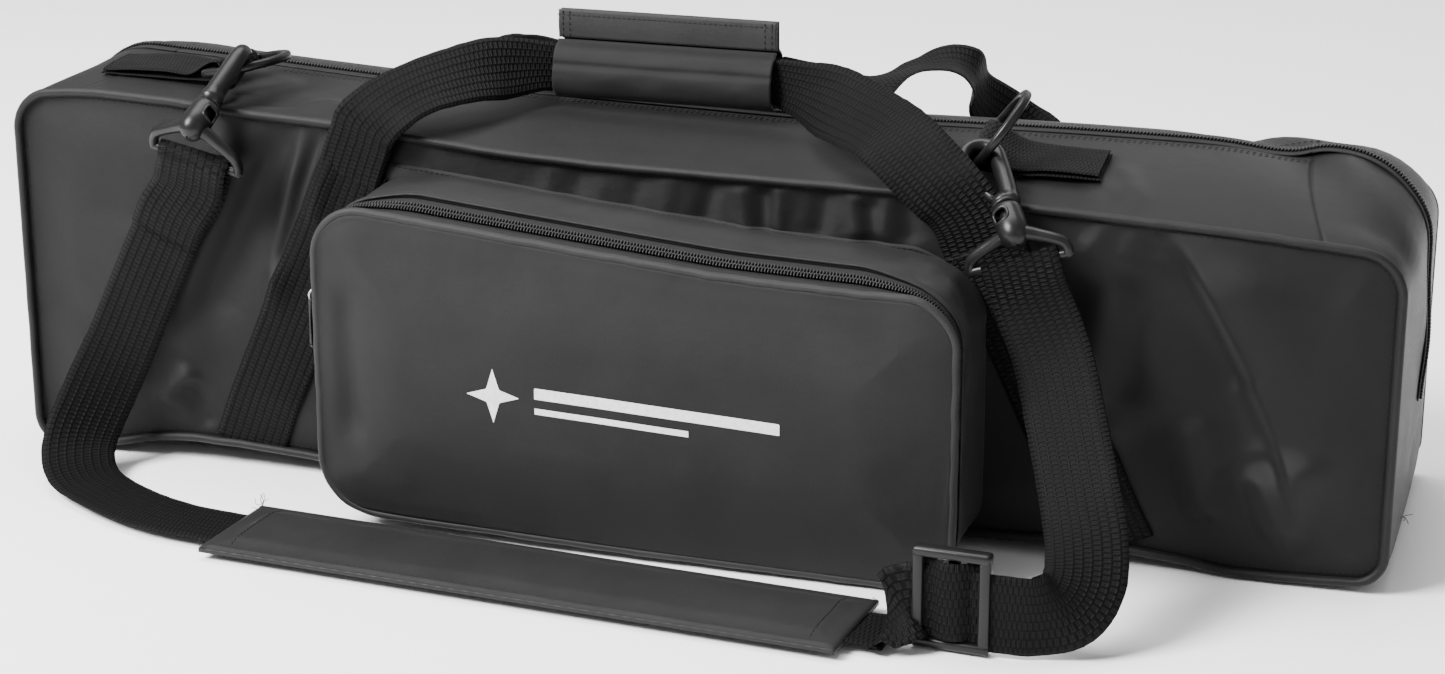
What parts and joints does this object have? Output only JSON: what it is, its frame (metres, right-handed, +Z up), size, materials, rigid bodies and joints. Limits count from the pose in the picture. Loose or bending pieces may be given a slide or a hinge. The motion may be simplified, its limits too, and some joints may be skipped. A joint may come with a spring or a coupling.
{
  "type": "padded telescope carry case",
  "caption": "Long soft carry case with zipped top, front zip pocket, twin webbing handles joined by a wrap grip, and a hooked shoulder strap with pad.",
  "frame": {"origin": "centre of the bag's flat base, on the surface it stands on", "axes": "+X to the right along the bag seen from the pocket side, -Y towards the pocket, +Z up"},
  "size_m": [0.7122, 0.3267, 0.237],
  "materials": {
    "shell_fabric": "coated nylon twill, slight sheen",
    "pocket_fabric": "coated nylon twill, slight sheen",
    "piping": "fabric-covered piping cord",
    "webbing": "ribbed polypropylene webbing",
    "zip_coil_and_tape": "nylon coil on woven tape",
    "grip_fabric": "coated nylon twill, stitched hems",
    "pad_fabric": "coated nylon twill, stitched hems",
    "black_plastic": "satin moulded",
    "gate_spring_plastic": "satin moulded",
    "slider_metal": "worn zinc",
    "pull_tab": "matt black"
  },
  "bodies": {
    "bag": {"front_panel": "shell_fabric", "back_panel": "shell_fabric", "bottom_gusset": "shell_fabric", "left_end_gusset": "shell_fabric", "right_end_gusset": "shell_fabric", "top_front_gusset": "shell_fabric", "main_zip_front": "zip_coil_and_tape", "left_end_zip": "zip_coil_and_tape", "right_end_zip": "zip_coil_and_tape", "front_piping": "piping", "back_piping": "piping", "pocket_gusset": "pocket_fabric", "pocket_zip_rear_tape": "zip_coil_and_tape", "pocket_lower_gusset": "pocket_fabric", "pocket_lower_panel": "pocket_fabric", "pocket_lower_piping": "piping", "front_left_band": "webbing", "front_right_band": "webbing", "back_left_band": "webbing", "back_right_band": "webbing", "front_left_handle_leg": "webbing", "front_right_handle_leg": "webbing", "rear_left_handle_leg": "webbing", "rear_right_handle_leg": "webbing", "left_ring_tab": "webbing", "right_ring_tab": "webbing", "strap_web": "webbing", "strap_return_ply": "webbing", "left_hook_base": "black_plastic", "right_hook_base": "black_plastic"},
    "top_flap": {"top_rear_gusset": "shell_fabric", "main_zip_rear": "zip_coil_and_tape"},
    "main_slider": {"main_zip_slider": "slider_metal"},
    "main_pull": {"main_zip_pull": "pull_tab"},
    "pocket_flap": {"pocket_flap_panel": "pocket_fabric", "pocket_zip_front_tape": "zip_coil_and_tape", "pocket_flap_piping": "piping"},
    "pocket_slider": {"pocket_zip_slider": "slider_metal"},
    "pocket_pull": {"pocket_zip_pull": "pull_tab"},
    "carry_handle": {"front_handle_web": "webbing", "rear_handle_web": "webbing", "grip_wrap": "grip_fabric"},
    "grip_flap": {"grip_flap": "grip_fabric"},
    "left_ring": {"left_d_ring": "black_plastic"},
    "right_ring": {"right_d_ring": "black_plastic"},
    "left_hook": {"left_hook_body": "black_plastic"},
    "left_gate": {"left_hook_gate": "gate_spring_plastic"},
    "right_hook": {"right_hook_body": "black_plastic"},
    "right_gate": {"right_hook_gate": "gate_spring_plastic"},
    "pad": {"shoulder_pad": "pad_fabric"},
    "glide": {"tri_glide": "black_plastic"}
  },
  "joints": [
    {"name": "top_flap_open", "type": "hinge", "parent": "bag", "child": "top_flap", "pos_m": [0, 0.0784, 0.1659], "axis": [-0.9999, 0, 0.0143], "range_deg": [0, 50], "deforming": ["rear_left_handle_leg", "rear_right_handle_leg"]},
    {"name": "main_zip_slide", "type": "slide", "parent": "bag", "child": "main_slider", "axis": [0, 0, 1], "range_m": [-0.02, 0.04]},
    {"name": "main_pull_swing", "type": "hinge", "parent": "main_slider", "child": "main_pull", "pos_m": [-0.357, 0, 0.0995], "axis": [0, 1, 0], "range_deg": [0, 90]},
    {"name": "pocket_flap_open", "type": "hinge", "parent": "bag", "child": "pocket_flap", "pos_m": [0, -0.1488, 0.0702], "axis": [1, 0, 0], "range_deg": [0, 75]},
    {"name": "pocket_zip_slide", "type": "slide", "parent": "bag", "child": "pocket_slider", "axis": [0, 0, 1], "range_m": [-0.03, 0.008]},
    {"name": "pocket_pull_swing", "type": "hinge", "parent": "pocket_slider", "child": "pocket_pull", "pos_m": [-0.1603, -0.136, 0.1195], "axis": [0, 1, 0], "range_deg": [0, 90]},
    {"name": "handle_lift", "type": "slide", "parent": "bag", "child": "carry_handle", "axis": [0, 0, 1], "range_m": [0, 0.04], "deforming": ["front_left_handle_leg", "front_right_handle_leg"]},
    {"name": "grip_flap_open", "type": "hinge", "parent": "carry_handle", "child": "grip_flap", "pos_m": [-0.0195, -0.023, 0.2226], "axis": [1, 0, 0], "range_deg": [0, 88]},
    {"name": "left_ring_swing", "type": "hinge", "parent": "bag", "child": "left_ring", "pos_m": [-0.246, -0.045, 0.2015], "axis": [0.2495, 0.9682, 0.02], "range_deg": [-1.5, 1.5]},
    {"name": "right_ring_swing", "type": "hinge", "parent": "bag", "child": "right_ring", "pos_m": [0.1487, -0.0502, 0.1916], "axis": [0.0502, 0.964, 0.2611], "range_deg": [-1.5, 1.5]},
    {"name": "left_hook_swivel", "type": "hinge", "parent": "bag", "child": "left_hook", "pos_m": [-0.2345, -0.096, 0.1929], "axis": [0.1, 0.8602, 0.5001], "range_deg": [-3, 3]},
    {"name": "left_gate_swing", "type": "hinge", "parent": "left_hook", "child": "left_gate", "pos_m": [-0.23583, -0.08773, 0.19294], "axis": [0.8916, 0.1456, -0.4287], "range_deg": [0, 20], "stiffness_Nm_per_rad": 0.02},
    {"name": "right_hook_swivel", "type": "hinge", "parent": "bag", "child": "right_hook", "pos_m": [0.168, -0.094, 0.173], "axis": [-0.4212, 0.7421, 0.5215], "range_deg": [-3, 3]},
    {"name": "right_gate_swing", "type": "hinge", "parent": "right_hook", "child": "right_gate", "pos_m": [0.16091, -0.0907, 0.176], "axis": [-0.1092, 0.5293, -0.8414], "range_deg": [0, 20], "stiffness_Nm_per_rad": 0.02},
    {"name": "pad_slide", "type": "slide", "parent": "bag", "child": "pad", "axis": [0.9971, -0.0767, 0], "range_m": [-0.015, 0.006]},
    {"name": "glide_slide", "type": "slide", "parent": "bag", "child": "glide", "axis": [0.9973, -0.0732, 0], "range_m": [-0.002, 0.002]}
  ]
}
